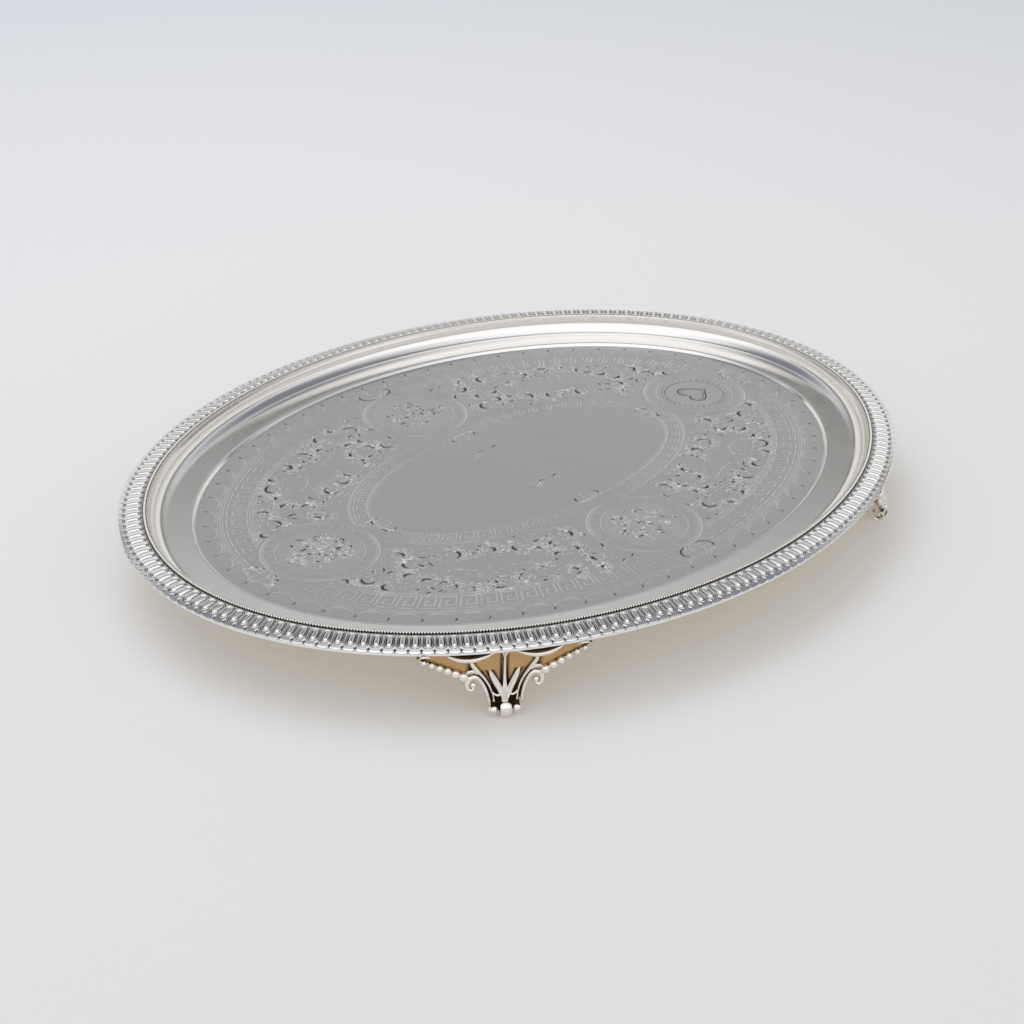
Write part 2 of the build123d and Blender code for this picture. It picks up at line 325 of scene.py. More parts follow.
# ---------------------------------------------------------------- engraving on the flat field
# bands, as insets of the engraver's ovals
KEY_OUTER = 41.0
KEY_INNER = 51.0
SMALL_KEY_OUTER = 92.8
SMALL_KEY_INNER = 99.4
PANEL_OUTER = 53.2
PANEL_INNER = 91.2
KEYS_PER_QUARTER = 23
SMALL_KEYS_PER_QUARTER = 14
LACE_ARCHES = 64
LACE_INSET = 34
MEDALLION_X = 108.6
MEDALLION_Y = 69.6
MEDALLION_RADIUS = 23.0
MEDALLION_MARGIN = 0.9
PICTURE_RADIUS = 16.6
PICTURE_STEPS = 72
MEDALLIONS = [(MEDALLION_X, 0), (0, MEDALLION_Y), (-MEDALLION_X, 0), (0, -MEDALLION_Y)]
HEART_MEDALLION = 0
BOUQUET_CUTS = {1: 110, 2: 210, 3: 140}
MIRROR_X = (1, -1, -1, 1)
MIRROR_Y = (1, 1, -1, -1)
SPIN = (1, -1, 1, -1)
# a cut's depth for its half width, and the shallowest crossing that counts as cut
CUT_DEPTH = 0.30
SHALLOWEST = 0.012

strokes = []


def stroke(points, width, tip=0.0, swell=False, keep_clear=True, deep=1.0):
    """One cut of the graver: a V-shaped groove along points, pointed at its ends."""
    pts = np.asarray(points, float)
    if len(pts) < 2:
        return
    if keep_clear:
        near = np.min([np.hypot(pts[:, 0] - mx, pts[:, 1] - my) for mx, my in MEDALLIONS], axis=0)
        inside = near < MEDALLION_RADIUS + MEDALLION_MARGIN
        if inside.any():
            runs, current = [], []
            for p, covered in zip(pts, inside):
                if covered:
                    if len(current) > 1:
                        runs.append(current)
                    current = []
                else:
                    current.append(p)
            if len(current) > 1:
                runs.append(current)
            for run in runs:
                stroke(run, width, tip, swell, False, deep)
            return
    step = np.hypot(*np.diff(pts, axis=0).T)
    pts = pts[np.concatenate([[True], step > 1e-4])]
    if len(pts) < 2:
        return
    run = np.concatenate([[0], np.cumsum(np.hypot(*np.diff(pts, axis=0).T))])
    place = run / run[-1]
    if swell:
        half = width / 2 * np.sin(pi * place) ** 0.8
    else:
        taper = max(tip, width * 0.5) / run[-1]
        half = width / 2 * np.clip(np.minimum(place, 1 - place) / max(taper, 1e-6), 0, 1)
        if not np.any((place > 0) & (place < 1)):
            middle = pts.mean(axis=0)
            pts = np.array([pts[0], middle, pts[1]])
            half = np.array([0, width / 2, 0])
        elif taper < 0.5:
            # square-looking ends: add a full-width point just inside each tip
            first = pts[0] + (pts[1] - pts[0]) * min(0.5, taper * run[-1] / max(run[1], 1e-6))
            last = pts[-1] + (pts[-2] - pts[-1]) * min(0.5, taper * run[-1] / max(run[-1] - run[-2], 1e-6))
            pts = np.vstack([pts[:1], [first], pts[1:-1], [last], pts[-1:]])
            half = np.concatenate([[0, width / 2], np.full(len(pts) - 4, width / 2), [width / 2, 0]])
    strokes.append((pts, half, deep))


def band_line(inset, width, gap=0.0):
    """A line around the field, in four lengths that stop at the axes."""
    for quarter in range(4):
        start = quarter * pi / 2 + gap / (A - inset)
        end = (quarter + 1) * pi / 2 - gap / (A - inset)
        t = np.linspace(start, end, 100)
        stroke(np.column_stack(oval(t, inset)), width)


def dotted_line(inset, pitch, dash, width, lean=0.25):
    """A rope line: short slanting dashes all the way around."""
    steps = 2000
    t = np.linspace(0, 2 * pi, steps + 1)
    x, y = oval(t, inset)
    length = np.concatenate([[0], np.cumsum(np.hypot(np.diff(x), np.diff(y)))])
    count = int(length[-1] / pitch)
    for k in range(count):
        ends = [np.interp((k + 0.5) / count * length[-1] + side * dash / 2, length, t) for side in (-1, 1)]
        a, b = oval(ends[0], inset + lean), oval(ends[1], inset - lean)
        stroke([a, b], width)


def greek_key(outer, inner, count, width):
    """Meander band: in each unit the line turns in on itself, and a base line joins the units."""
    middle = (outer + inner) / 2
    t_fine = np.linspace(0, pi / 2, 1500)
    x, y = oval(t_fine, middle)
    length = np.concatenate([[0], np.cumsum(np.hypot(np.diff(x), np.diff(y)))])
    hook = [(0.00, 0.10), (0.00, 0.97), (0.76, 0.97), (0.76, 0.32), (0.30, 0.32), (0.30, 0.64), (0.52, 0.64)]
    for quarter in range(4):
        for unit in range(count):
            def place(u, v):
                share = (unit + 0.12 + u) / (count + 0.1)
                t = float(np.interp(share * length[-1], length, t_fine))
                if quarter % 2:
                    t = pi - t if quarter == 1 else 2 * pi - t
                elif quarter == 2:
                    t = pi + t
                return oval(t, outer + (inner - outer) * v)
            points = []
            for (u0, v0), (u1, v1) in zip(hook, hook[1:]):
                pieces = 2 if abs(u1 - u0) > 0.5 else 1
                points += [place(u0 + (u1 - u0) * k / pieces, v0 + (v1 - v0) * k / pieces)
                           for k in range(pieces)]
            points.append(place(*hook[-1]))
            stroke(points, width)
            stroke([place(0.10, 0.08), place(0.5, 0.08), place(0.92, 0.08)], width)


# ---- acanthus scrolls of the four panels
def panel_point(angle, across, quarter):
    """A place in a panel: degrees from the long axis, across from its outer (0) to its inner edge (1)."""
    x, y = oval(radians(angle), PANEL_OUTER + (PANEL_INNER - PANEL_OUTER) * across)
    return x * MIRROR_X[quarter], y * MIRROR_Y[quarter]


def c_scroll(centre, radius, start, sweep, flip, thick=1.4, leaves=5):
    """A C-scroll: a deep swelling cut that curls in to an eye, a fine outline, and leaf lobes on its back."""

    def at(angle, r):
        a = radians(start + angle) * (-1 if flip else 1)
        return polar(centre, r, a + pi if flip else a)

    stroke([at(sweep * k / 9, radius * (1 - 0.10 * k / 9)) for k in range(10)], thick, swell=True, deep=2.2)
    stroke([at(sweep + 210 * k / 8, radius * (0.88 - 0.62 * k / 8)) for k in range(9)], thick * 0.55,
           swell=True)
    stroke([at(sweep + 250, radius * 0.16), at(sweep + 70, radius * 0.16)], thick * 0.6)
    rim = radius + thick * 0.95
    stroke([at(-14 + (sweep + 30) * k / 10, rim + 0.25 * sin(k * 2.2)) for k in range(11)], 0.65)
    for k in range(leaves):
        a = 6 + (sweep - 4) * (k + 0.5) / leaves
        root, tip = radius + thick * 1.2, radius + thick * (2.5 + 0.6 * (k % 2))
        middle = (root + tip) / 2
        stroke([at(a - 5, root), at(a + 4, middle), at(a + 17, tip)], 1.0, swell=True)
        stroke([at(a + 9, root - 0.1), at(a + 18, middle), at(a + 24, tip - 0.15)], 0.42)


def comma_leaf(start, angle, length, bend, width, twin=True):
    """A single cut leaf that bends to one side, with a fine outline beside it."""
    x, y = start
    points, edge = [], []
    for k in range(7):
        a = radians(angle + bend * (k / 6))
        points.append((x, y))
        edge.append((x - sin(a) * width * 0.95, y + cos(a) * width * 0.95))
        x += cos(a) * length / 6
        y += sin(a) * length / 6
    stroke(points, width, swell=True, deep=2.0)
    if twin:
        stroke(edge, 0.3)


# (angle along the panel, place across it, radius, start, sweep, mirrored): the scrolls run along both edges
SCROLLS = [
    (17, 0.07, 1.7, 60, 200, False), (22, 0.19, 3.0, 40, 190, True), (28, 0.09, 2.4, 210, 190, False),
    (23, 0.72, 2.9, 20, 200, False), (29, 0.57, 2.7, 100, 200, True), (31, 0.33, 1.9, 150, 170, False),
    (36, 0.24, 2.0, 170, 170, True), (40, 0.77, 3.2, 30, 190, False), (41, 0.13, 3.6, 200, 200, True),
    (46, 0.82, 2.0, 300, 170, True), (51, 0.80, 1.7, 20, 170, False), (52, 0.08, 2.4, 230, 190, False),
    (58, 0.14, 3.4, 190, 200, False), (59, 0.76, 3.1, 10, 200, True), (63, 0.62, 1.9, 80, 170, False),
    (68, 0.66, 2.2, 40, 180, True), (72, 0.77, 2.9, 350, 200, False), (67, 0.44, 1.6, 120, 160, True),
    (71, 0.47, 1.5, 10, 160, False), (67, 0.07, 2.7, 200, 200, True), (74, 0.20, 3.0, 160, 200, False),
    (46, 0.05, 1.6, 240, 170, True), (72, 0.02, 1.7, 240, 170, True), (62, 0.24, 1.7, 150, 160, True),
]
# (angle, place across, direction, length, bend): single leaves between the scrolls
LEAVES = [
    (20, 0.42, 40, 5.5, 70), (25, 0.34, 200, 5.0, -80), (33, 0.72, 300, 4.5, 60), (35, 0.10, 20, 5.0, -60),
    (34, 0.50, 250, 5.5, 70), (44, 0.70, 250, 4.0, -70), (49, 0.90, 330, 4.0, 60), (56, 0.90, 160, 4.5, -60),
    (55, 0.28, 60, 5.0, 70), (49, 0.20, 95, 6.0, -40), (51, 0.20, 60, 5.5, 50), (65, 0.82, 20, 4.5, -60),
    (70, 0.33, 130, 5.0, 60), (77, 0.42, 80, 5.0, -60), (64, 0.33, 340, 4.5, 60), (78, 0.02, 10, 4.5, 50),
    (29, 0.42, 110, 4.0, 60), (76, 0.62, 250, 4.5, 60), (38, 0.03, 340, 3.5, 50), (62, 0.03, 330, 4.0, 60),
]
# (angle, place across, size): ruled triangles that fill the corners of a panel
TRIANGLES = [(34, 0.02, 2.4), (31, 0.93, 2.2), (64, 0.93, 2.2), (63, 0.01, 2.2), (50, 0.97, 1.5)]
# (angle, place across) along the sprig in a panel's plain middle: its two stems and its flowers
STEMS = [[(50, 0.12), (48, 0.26), (47, 0.40), (43, 0.46), (40, 0.44)],
         [(49, 0.24), (52, 0.36), (56, 0.42), (60, 0.42)]]
FLOWERS = [(43, 0.47), (40, 0.44), (47, 0.41), (50, 0.44), (53, 0.38), (56, 0.43), (60, 0.42), (45, 0.36),
           (48, 0.30),
           (52, 0.30)]
PETALS = 5
# (place across, wave, turns, first angle, last angle) of the waving stems that join the scrolls
VINES = [(0.12, 0.075, 7.5, 16, 79), (0.74, 0.085, 6.5, 20, 77)]


def panel(quarter):
    sign = SPIN[quarter]
    heading = (0, 180, 180, 0)[quarter]

    def turned(angle):
        """A direction of the first quarter, mirrored into this one."""
        x, y = cos(radians(angle)), sin(radians(angle))
        return degrees(atan2(y * MIRROR_Y[quarter], x * MIRROR_X[quarter]))

    for angle, across, radius, start, sweep, mirrored in SCROLLS:
        flip = mirrored if sign > 0 else not mirrored
        c_scroll(panel_point(angle, across, quarter), radius, start + angle + heading, sweep, flip)
    for angle, across, direction, length, bend in LEAVES:
        shifted = panel_point(angle + 2.2, across + 0.045, quarter)
        comma_leaf(shifted, turned(direction + 40), length * 0.75, -bend * sign, 0.7, twin=False)
        comma_leaf(panel_point(angle, across, quarter), turned(direction), length, bend * sign, 0.95)
    for angle, across, size in TRIANGLES:
        for share in (1.0, 0.55):
            ring = [polar(panel_point(angle, across, quarter), size * share, radians(turned(a)))
                    for a in (90, 210, 330)]
            for a, b in zip(ring, ring[1:] + ring[:1]):
                stroke([a, b], 0.4)
    for base, wave, turns, low, high in VINES:
        angles = np.linspace(low, high, 90)
        ripple = base + wave * np.sin((angles - low) / (high - low) * turns * 2 * pi)
        vine = [panel_point(a, q, quarter) for a, q in zip(angles, ripple)]
        for k in range(0, 84, 7):
            stroke(vine[k:k + 6], 0.5, swell=True)
    for stem in STEMS:
        stroke(smooth_line([panel_point(angle, across, quarter) for angle, across in stem], 5), 0.4)
    for angle, across in FLOWERS:
        middle = panel_point(angle, across, quarter)
        for k in range(PETALS):
            a = 2 * pi * k / PETALS + angle
            stroke([polar(middle, 0.35, a), polar(middle, 1.15, a)], 0.6)


def leaf_shading(quarter):
    """Short fine cuts around and inside the scrolls of a panel, like the veins of their leaves."""
    chance = random.Random(90 + quarter)
    spin = SPIN[quarter]
    scrolls = [(panel_point(angle, across, quarter), radius) for angle, across, radius, *_ in SCROLLS]
    for angle in np.arange(15.0, 81.0, 1.5):
        for across in np.arange(0.03, 0.97, 0.07):
            x, y = panel_point(angle + chance.uniform(-0.5, 0.5), across + chance.uniform(-0.02, 0.02),
                               quarter)
            (cx, cy), radius = min(scrolls, key=lambda s: hypot(x - s[0][0], y - s[0][1]) - s[1])
            reach = hypot(x - cx, y - cy)
            if not (0.4 * radius < reach < 0.72 * radius or radius + 0.9 < reach < radius + 4.2):
                continue
            heading = atan2(y - cy, x - cx) + spin * radians(50)
            vein = [(x, y)]
            for _ in range(3):
                vein.append(polar(vein[-1], 0.8, heading))
                heading += spin * radians(26)
            stroke(vein, 0.5, swell=True)


def palmette(x, y, outward, size):
    """A bud of three leaves that points out from the middle of the tray (or in, with a negative size)."""
    reach = abs(size)
    out = Vector(outward).normalized() * (1 if size > 0 else -1)
    side = Vector((-out.y, out.x))

    def leaf(hand, places, width, **options):
        line = [Vector((x, y)) + out * (v * reach) + side * (hand * u * reach) for u, v in places]
        stroke(smooth_line([(p.x, p.y) for p in line], 4), width, keep_clear=False, **options)

    for hand in (-1, 1):
        leaf(hand, [(0.02, 0.0), (0.34, 0.45), (0.22, 0.85), (0, 1.15)], 0.42)
        leaf(hand, [(0.25, 0.02), (0.75, 0.18), (0.95, 0.55), (0.72, 0.95)], 0.9, swell=True, deep=2.2)
        leaf(hand, [(0.22, -0.02), (0.55, 0.32), (0.62, 0.70), (0.70, 0.95)], 0.35)
        leaf(hand, [(0.10, 0.12), (0.20, 0.42), (0.12, 0.75)], 0.5, swell=True)


def medallion(number):
    """A medallion: double ring, leaf sprays in place of the lettering, and a picture in frosted relief."""
    middle = MEDALLIONS[number]
    chance = random.Random(40 + number)

    def cut(points, width, swell=True, deep=1.0):
        placed = [(middle[0] + x, middle[1] + y) for x, y in points]
        stroke(placed, width, swell=swell, keep_clear=False, deep=deep)

    for radius, width in ((MEDALLION_RADIUS, 0.7), (MEDALLION_RADIUS - 1.1, 0.3),
                          (PICTURE_RADIUS + 0.9, 0.35)):
        for quarter in range(4):
            a = np.linspace(quarter * pi / 2, (quarter + 1) * pi / 2, 22)
            cut(np.column_stack([radius * np.cos(a), radius * np.sin(a)]), width, swell=False)
    # twin leaves along the ring, in two sprays with plain gaps between them
    spray_radius = (MEDALLION_RADIUS + PICTURE_RADIUS) / 2 + 0.1
    for spray in (0, 1):
        for k in range(13):
            a = radians(-84 + 13.5 * k) + spray * pi
            for hand in (-1, 1):
                tip = polar(middle, spray_radius + hand * 1.35, a + radians(5.2))
                leaf = [polar(middle, spray_radius, a), polar(middle, spray_radius + hand * 0.9, a + 0.04),
                        tip]
                stroke(leaf, 0.55, swell=True, keep_clear=False)

    inner = PICTURE_RADIUS - 1.2
    if number == HEART_MEDALLION:
        # a plain heart inside a wreath
        for k in range(34):
            a = 2 * pi * k / 34
            for r, lean in ((inner - 1.0, 0.12), (inner - 2.6, -0.12)):
                wreath = [polar((0, 0), *place)
                          for place in ((r, a - 0.05), (r + 0.7, a + lean), (r, a + 0.14))]
                cut(wreath, 1.0, deep=2.0)
        heart = []
        for k in range(33):
            s = 2 * pi * k / 32
            height = 13 * cos(s) - 5 * cos(2 * s) - 2 * cos(3 * s) - cos(4 * s)
            heart.append((-height * 0.46, 16 * sin(s) ** 3 * 0.46))
        for share, width in ((1.0, 0.75), (0.78, 0.4)):
            for side in (heart[:17], heart[16:]):
                cut([(x * share, y * share) for x, y in side], width, swell=False, deep=2.0)
        return
    # a loose bouquet: leaves and blossoms in every direction, thick as relief work
    for _ in range(BOUQUET_CUTS[number]):
        r = inner * sqrt(chance.random()) * 0.92
        a = chance.uniform(0, 2 * pi)
        x, y = r * cos(a), r * sin(a) * 0.8
        b = chance.uniform(0, 2 * pi)
        length = chance.uniform(1.8, 4.4)
        bend = chance.choice((-1, 1)) * chance.uniform(0.5, 1.3)
        points = []
        for _ in range(6):
            if hypot(x, y) < inner:
                points.append((x, y))
            x += cos(b) * length / 5
            y += sin(b) * length / 5
            b += bend / 5
        if len(points) > 2:
            cut(points, chance.uniform(0.5, 1.15), deep=chance.choice((0.9, 0.9, 0.9, 1.8)))
    if number == 2:
        for height in (-0.55, -0.66, -0.76):
            half = sqrt(1 - height * height) * inner * 0.96
            cut([(height * inner, s * half) for s in (-1, -0.5, 0, 0.5, 1)], 0.4)


def lace_edge():
    """Shallow arches around the field, with a short flick at each joint."""
    t = even_parameters(LACE_ARCHES, LACE_INSET)
    for t0, t1 in zip(t, np.append(t[1:], t[0] + 2 * pi)):
        for inset, rise, width, margin, steps in ((34.2, 3.6, 0.42, 0.04, 11), (35.6, 3.2, 0.25, 0.12, 9)):
            shares = np.linspace(margin, 1 - margin, steps)
            stroke([outline(t0 + (t1 - t0) * s, inset + rise * sin(pi * s) ** 0.6) for s in shares], width,
                   tip=1.5)
        stroke([outline(t0, 35.4), outline(t0 + 0.004, 33.6), outline(t0 - 0.008, 31.9)], 0.75, swell=True,
               deep=2.0)
        stroke([outline(t0 + 0.012, 35.0), outline(t0 + 0.02, 34.0), outline(t0 + 0.026, 33.4)], 0.5,
               swell=True)


def engrave():
    """Gathers every stroke of the engraving."""
    for inset, width in ((KEY_OUTER - 1.4, 0.34), (KEY_OUTER - 0.4, 0.3), (KEY_INNER + 0.6, 0.34),
                         (KEY_INNER + 1.7, 0.3),
                         (PANEL_INNER + 0.3, 0.34), (PANEL_INNER + 1.0, 0.3)):
        band_line(inset, width, gap=9 if inset < KEY_INNER else 0)
    dotted_line(KEY_OUTER - 2.7, 1.5, 0.9, 0.5)
    dotted_line(SMALL_KEY_INNER + 1.2, 1.7, 1.25, 0.75, lean=0.4)
    band_line(SMALL_KEY_INNER + 0.3, 0.3)
    greek_key(KEY_OUTER + 0.4, KEY_INNER - 0.2, KEYS_PER_QUARTER, 0.5)
    greek_key(SMALL_KEY_OUTER + 0.3, SMALL_KEY_INNER - 0.1, SMALL_KEYS_PER_QUARTER, 0.42)
    for quarter in range(4):
        panel(quarter)
        leaf_shading(quarter)
    for number in range(4):
        medallion(number)
    for mx, my in MEDALLIONS:
        out = Vector((mx, my)).normalized()
        for beyond, size in ((MEDALLION_RADIUS + 0.6, 8.5), (-MEDALLION_RADIUS - 5.5, -6.5)):
            root = Vector((mx, my)) + out * beyond
            palmette(root.x, root.y, out, size)
    lace_edge()
    # flourishes in the plain middle, where the photograph has an inscription
    for height, reach in ((20, 15), (-17, 13)):
        for hand in (-1, 1):
            shares = np.linspace(0, 1, 16)
            line = [(hand * (1.5 + reach * s), height + 1.6 * sin(s * 7.0) * (1 - s)) for s in shares]
            stroke(line, 0.85, swell=True)
            stroke([(x, y - 1.5) for x, y in line[2:12]], 0.5, swell=True)
            comma_leaf((hand * 2, height + 0.8), 90 - hand * 35, 4.0, -hand * 80, 0.7, twin=False)


def cut_field():
    """The field as (points, faces, face materials, face middles, relief), with a V cut along every stroke."""
    points, heights, clean_and_lit = [], [], []
    edges, loops = [], []

    def add(x, y, height, clean_and_lit_value):
        points.append((float(x), float(y)))
        heights.append(height)
        clean_and_lit.append(clean_and_lit_value)
        return len(points) - 1

    loops.append([add(x, y, 0.0, 1.0) for x, y in zip(*outline(ring_t, FIELD_INSET))])
    for middle in MEDALLIONS:
        circle = [polar(middle, PICTURE_RADIUS, k)
                  for k in np.arange(PICTURE_STEPS) * pi / (PICTURE_STEPS / 2)]
        loops.append([add(x, y, 0.0, 1.0) for x, y in circle])
    for pts, half, deep in strokes:
        ahead = np.diff(pts, axis=0)
        ahead /= np.maximum(np.hypot(ahead[:, 0], ahead[:, 1])[:, None], 1e-9)
        before, after = np.vstack([ahead[:1], ahead]), np.vstack([ahead, ahead[-1:]])
        normal = np.column_stack([-(before[:, 1] + after[:, 1]), before[:, 0] + after[:, 0]])
        size = np.hypot(normal[:, 0], normal[:, 1])
        normal /= np.maximum(size[:, None], 1e-9)
        miter = np.clip(2 / np.maximum(size, 1e-9), 1, 1.5)
        left, right, centre = [], [], []
        # painted shade with oxide: a deep cut gets a dark centre line and half-dark edges; a fine cut stays
        # almost bright
        fine = deep <= 1.0
        for p, n, h, m in zip(pts, normal, half, miter):
            centre.append(add(p[0], p[1], -h * CUT_DEPTH * deep, 0.85 if fine else max(0.0, 0.4 - 3.0 * h)))
            if h > 1e-6:
                left.append(add(p[0] + n[0] * h * m, p[1] + n[1] * h * m, 0.0, 1.0 if fine else 0.3))
                right.append(add(p[0] - n[0] * h * m, p[1] - n[1] * h * m, 0.0, 1.0 if fine else 0.3))
        ends_first = [centre[0]] if half[0] <= 1e-6 else []
        ends_last = [centre[-1]] if half[-1] <= 1e-6 else []
        loop = ends_first + left + ends_last + right[::-1]
        if len(loop) < 3:
            continue
        loops.append(loop)
        edges += list(zip(centre, centre[1:]))
    for loop in loops:
        edges += list(zip(loop, loop[1:] + loop[:1]))
    flat, _, faces, sources, _, _ = delaunay_2d_cdt([Vector(p) for p in points], edges, [], 0, 1e-5, True)
    flat = np.array([(p.x, p.y) for p in flat])
    z, relief = np.zeros(len(flat)), np.ones(len(flat))
    fresh = [i for i, source in enumerate(sources) if not source]
    for i, source in enumerate(sources):
        if source:
            z[i] = min(heights[k] for k in source)
            relief[i] = min(clean_and_lit[k] for k in source)
    # a point where strokes cross is as deep as the deepest of them
    start = np.vstack([pts[:-1] for pts, _, _ in strokes])
    span = np.vstack([pts[1:] for pts, _, _ in strokes]) - start
    half_start = np.concatenate([half[:-1] * deep for _, half, deep in strokes])
    half_end = np.concatenate([half[1:] * deep for _, half, deep in strokes])
    square = np.maximum((span**2).sum(axis=1), 1e-12)
    for i in fresh:
        rel = flat[i] - start
        s = np.clip((rel * span).sum(axis=1) / square, 0, 1)
        away = np.hypot(*(rel - span * s[:, None]).T)
        depth = CUT_DEPTH * np.max(np.maximum(half_start + (half_end - half_start) * s - away, 0))
        z[i] = -depth if depth > SHALLOWEST else 0
    faces = np.array([tuple(face) for face in faces])
    middle = flat[faces].mean(axis=1)
    near = np.min([np.hypot(middle[:, 0] - cx, middle[:, 1] - cy) for cx, cy in MEDALLIONS], axis=0)
    marks = np.where(z[faces].min(axis=1) < -1e-6, 1, np.where(near < PICTURE_RADIUS, 2, 0))
    return np.column_stack([flat, FIELD_Z + z]), faces, marks, middle, relief


rows = len(top_profile)
rim_verts = np.vstack([swept_ring(top_profile, ring_t), [[0, 0, FIELD_UNDER]]])
rim_faces = [tuple(reversed(f)) for f in grid_faces(RING_COLUMNS, rows, True, False)]
inner = [i * rows + rows - 1 for i in range(RING_COLUMNS)]
rim_faces += [(inner[(i + 1) % RING_COLUMNS], inner[i], len(rim_verts) - 1) for i in range(RING_COLUMNS)]
new_piece("tray_rim_and_underside", rim_verts, rim_faces, [tray_silver], ["tray_sheet"],
          sharp=28)
engrave()
field_verts, field_faces, field_marks, face_middle, field_relief = cut_field()
for name, (side_x, side_y) in QUARTERS.items():
    chosen = ((face_middle[:, 0] >= 0) == (side_x > 0)) & ((face_middle[:, 1] >= 0) == (side_y > 0))
    used, local = np.unique(field_faces[chosen], return_inverse=True)
    new_piece(f"tray_field_{name}", field_verts[used], local.reshape(-1, 3).tolist(),
              [field_silver, cut_silver, frosted_silver], ["tray_sheet"], sharp=0,
              face_material=field_marks[chosen], relief=field_relief[used])

# ---------------------------------------------------------------- lip strip: two polished fillets and a shelf
STRIP_SHELF = 30.42
FILLET_FOOT = 30.5
strip_profile = [(LIP_INSET, LIP_Z), (LIP_INSET, 30.45)]
for centre, radius, height in ((12.05, 0.3, FILLET_FOOT), (11.55, 0.28, STRIP_TOP - 0.28)):
    for k in range(7):
        angle = pi * (1 - k / 6)
        strip_profile.append((centre + radius * cos(angle), height + radius * sin(angle)))
strip_profile += [(11.2, FILLET_FOOT), (11.15, STRIP_SHELF), (BORDER_INSET, STRIP_SHELF)]
strip_profile.append((BORDER_INSET, flange_top(BORDER_INSET)))
# painted shade with oxide: the shelf and the flange beside the fillets darken down to 0.15
strip_relief = [1.0] * (len(strip_profile) - 4) + [0.6, 0.25, 0.15, 0.15]
strip_faces = [tuple(reversed(f)) for f in grid_faces(RING_COLUMNS, len(strip_profile), True, True)]
new_piece("lip_strip_fillets", swept_ring(strip_profile, ring_t), strip_faces, [bead_silver],
          ["moulded_lip_strip"], sharp=50, relief=np.tile(strip_relief, RING_COLUMNS))

# ---------------------------------------------------------------- beaded wire
BEADS = EGGS * BEADS_PER_EGG
BEAD_INSET = 10.6
BEAD_RADIUS = 0.57
BEAD_HALF_LENGTH = 0.50
BEAD_DROP = 0.58
BEAD_SIDES, BEAD_RINGS = 10, 6
CORE_RADIUS = 0.42
CORE_DROP = 0.68
bead_t = even_parameters(BEADS, BEAD_INSET)
bead_x, bead_y = outline(bead_t, BEAD_INSET)
core = [polar((BEAD_INSET, BEAD_TOP - CORE_DROP), CORE_RADIUS, a) for a in np.arange(6) * pi / 3]
verts = [tuple(v) for v in swept_ring(core, bead_t)]
faces = grid_faces(BEADS, len(core), True, True)
# painted shade with oxide: the wire core under the beads is dark all along
relief = [0.0] * len(verts)
for i in range(BEADS):
    ahead, behind = (i + 1) % BEADS, i - 1
    along = Vector((bead_x[ahead] - bead_x[behind], bead_y[ahead] - bead_y[behind], 0)).normalized()
    out = Vector((along.y, -along.x, 0))
    base = len(verts)
    centre = Vector((bead_x[i], bead_y[i], BEAD_TOP - BEAD_DROP))
    # painted shade: each bead is bright on top and darker towards its underside, black at its lowest point
    for ring in range(1, BEAD_RINGS):
        tilt = pi * ring / BEAD_RINGS
        for side in range(BEAD_SIDES):
            turn = 2 * pi * side / BEAD_SIDES
            offset = (along * cos(turn) * BEAD_HALF_LENGTH + out * sin(turn) * BEAD_RADIUS) * sin(tilt)
            verts.append(tuple(centre + offset + Vector((0, 0, BEAD_RADIUS * cos(tilt)))))
            relief.append(min(1.0, 0.35 + 1.1 * max(0.0, cos(tilt) + 0.35)))
    verts += [(centre.x, centre.y, centre.z + BEAD_RADIUS), (centre.x, centre.y, centre.z - BEAD_RADIUS)]
    relief += [1.0, 0.0]
    top, bottom = len(verts) - 2, len(verts) - 1
    last = base + (BEAD_RINGS - 2) * BEAD_SIDES
    for side in range(BEAD_SIDES):
        after = (side + 1) % BEAD_SIDES
        faces += [(base + side, top, base + after), (last + after, bottom, last + side)]
        for ring in range(BEAD_RINGS - 2):
            a, b = base + ring * BEAD_SIDES, base + (ring + 1) * BEAD_SIDES
            faces.append((a + side, a + after, b + after, b + side))
new_piece("beaded_wire_beads", verts, faces, [bead_silver], ["beaded_wire"], sharp=80,
          relief=relief)

# ---------------------------------------------------------------- border of egg bosses between looped ribs
EGG_PITCH = 4.62
EGG_RADIUS = 0.98
EGG_HALF_LINE = 1.75
EGG_MIDDLE = 5.75
BORDER_ROWS = 50
SCALLOP_DEPTH = 0.8
SCALLOP_REACH = 2.2
CROWN_EDGE = 29.2
# outwards from an egg: (distance, depth below the crown) across its groove, rib, channel and outer rib
LOOPS = [(0.0, -0.75), (0.14, -0.90), (0.28, -0.75), (0.38, -0.32), (0.51, -0.23), (0.64, -0.30),
         (0.70, -0.57),
         (0.80, -0.72), (0.90, -0.57), (0.98, -0.32), (1.15, -0.20), (1.35, -0.24), (3.0, -0.24)]
# brightness outwards from an egg: its grooves and channel are dark, as oxide and painted shade, and its ribs
# bright
LOOPS_CLEAN_AND_LIT = [(0.0, 0.1), (0.04, 0), (0.28, 0), (0.36, 1), (0.64, 1), (0.70, 0), (0.90, 0), (0.98, 1)]
crown = arc_through((BORDER_INSET, 30.9), (4.9, 30.7), (0.6, 29.6), 40)
crown_x = np.array([p[0] for p in crown] + [0.0])[::-1]
crown_z = np.array([p[1] for p in crown] + [CROWN_EDGE])[::-1]


